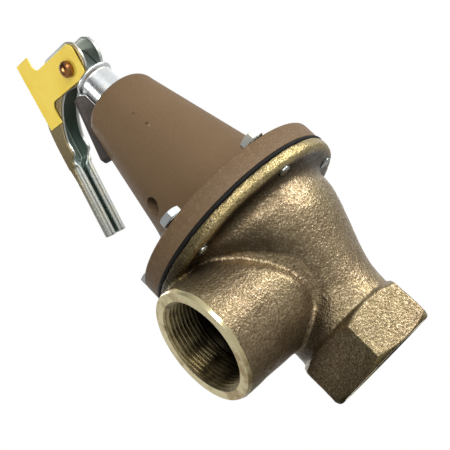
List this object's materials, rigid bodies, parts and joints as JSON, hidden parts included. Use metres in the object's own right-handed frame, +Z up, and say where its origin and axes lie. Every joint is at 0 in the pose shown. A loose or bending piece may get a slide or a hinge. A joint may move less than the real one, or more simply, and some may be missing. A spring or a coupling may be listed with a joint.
{
  "type": "pressure relief valve",
  "caption": "Diaphragm pressure relief valve: bronze angle body with hexagon inlet and threaded side outlet, cone bonnet over a spring, and a hand test lever that lifts the disc.",
  "frame": {"origin": "centre of the inlet's end face", "axes": "+Z up the valve's axis from inlet to lever, +X along the outlet"},
  "size_m": [0.124, 0.1434, 0.2646],
  "materials": {
    "body_bronze": "sand cast bronze",
    "brass": "turned",
    "bonnet_iron": "matt brown paint over casting",
    "rubber": "matt",
    "steel": "plain turned",
    "zinc_plate": "bright zinc plate with a yellow tinge",
    "pin_copper": "copper plated",
    "tag_yellow": "satin"
  },
  "bodies": {
    "base": {"valve_body": "body_bronze", "seat_ring": "brass", "bonnet": "bonnet_iron", "cap": "zinc_plate", "adjusting_screw": "brass", "ring_nut": "steel", "upper_spring_button": "steel", "spring": "steel", "diaphragm": "rubber", "flange_bolt_1": "zinc_plate", "flange_bolt_2": "zinc_plate", "flange_bolt_3": "zinc_plate", "flange_bolt_4": "zinc_plate", "flange_bolt_5": "zinc_plate", "flange_bolt_6": "zinc_plate"},
    "stem": {"stem": "steel", "stem_eye": "steel", "stem_nut": "steel", "upper_diaphragm_plate": "steel", "lower_diaphragm_plate": "brass", "disc_holder": "brass", "seat_disc": "rubber", "disc_washer": "steel", "disc_screw": "steel"},
    "lever": {"lever": "zinc_plate", "lever_pin": "pin_copper", "pin_washer": "steel", "tag": "tag_yellow"}
  },
  "joints": [
    {"name": "stem_lift", "type": "slide", "parent": "base", "child": "stem", "axis": [0, 0, 1], "range_m": [0, 0.00293], "stiffness_N_per_m": 4000, "springref_m": -0.005, "deforming": ["spring", "diaphragm"]},
    {"name": "lever_turn", "type": "hinge", "parent": "stem", "child": "lever", "pos_m": [0, 0, 0.2272], "axis": [-0.9848, -0.1736, 0], "range_deg": [0, 80]}
  ],
  "couplings": [
    {"joint": "lever_turn", "follows": "stem_lift", "rad_per_m": 476.19}
  ]
}
